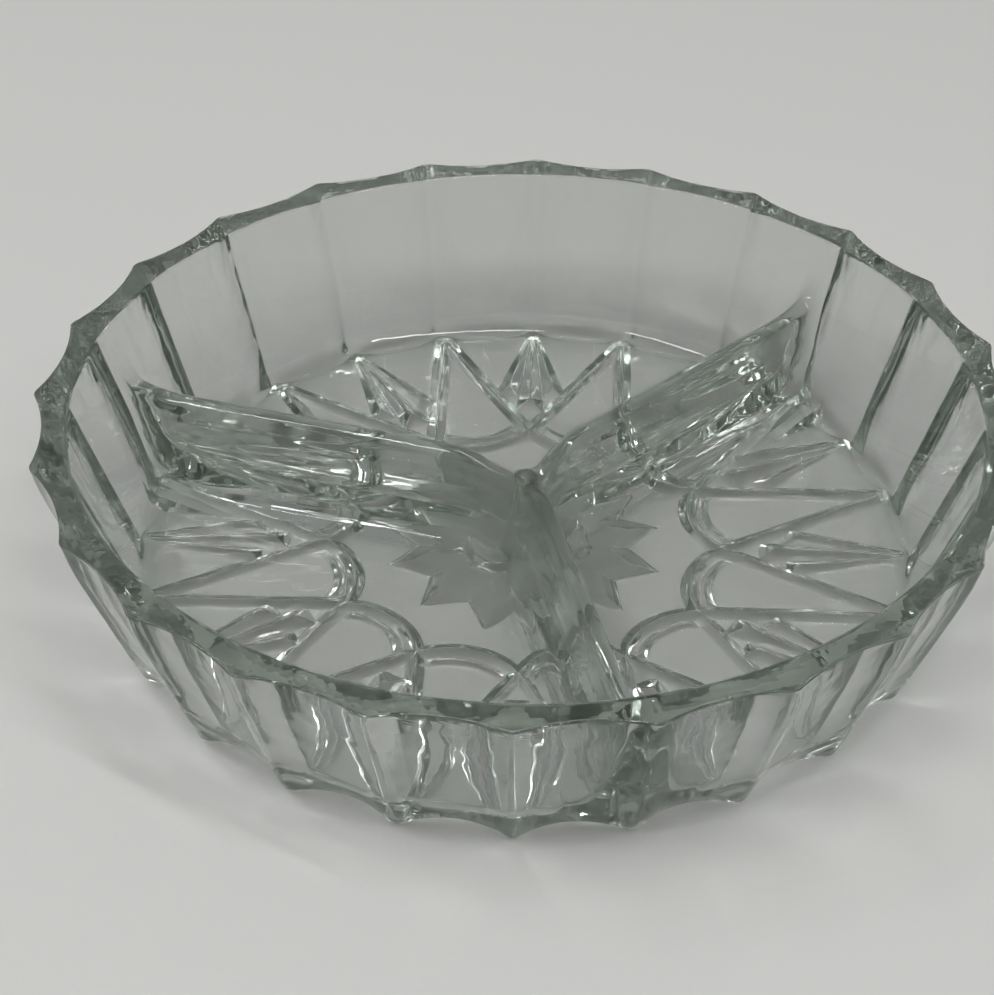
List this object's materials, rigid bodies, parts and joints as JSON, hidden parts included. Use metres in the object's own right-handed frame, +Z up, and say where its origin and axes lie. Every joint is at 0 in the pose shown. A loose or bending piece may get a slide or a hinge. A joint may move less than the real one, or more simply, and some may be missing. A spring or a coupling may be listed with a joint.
{
  "type": "divided relish dish",
  "caption": "Round clear pressed-glass relish dish with a fluted flaring wall, a scalloped rim, radial dividers between its compartments and a star pattern under the floor.",
  "frame": {"origin": "middle of the base, on the table", "axes": "+Z up; the front divider lies along -Y and the mirror plane is X = 0"},
  "size_m": [0.2, 0.2, 0.0395],
  "materials": {
    "clear_glass": "fire-polished clear glass with a faint grey-green tint"
  },
  "bodies": {
    "root": {"star_medallion": "clear_glass", "patterned_floor": "clear_glass", "fluted_wall": "clear_glass", "rim_band": "clear_glass", "divider_front": "clear_glass", "divider_right": "clear_glass", "divider_left": "clear_glass"}
  },
  "joints": []
}
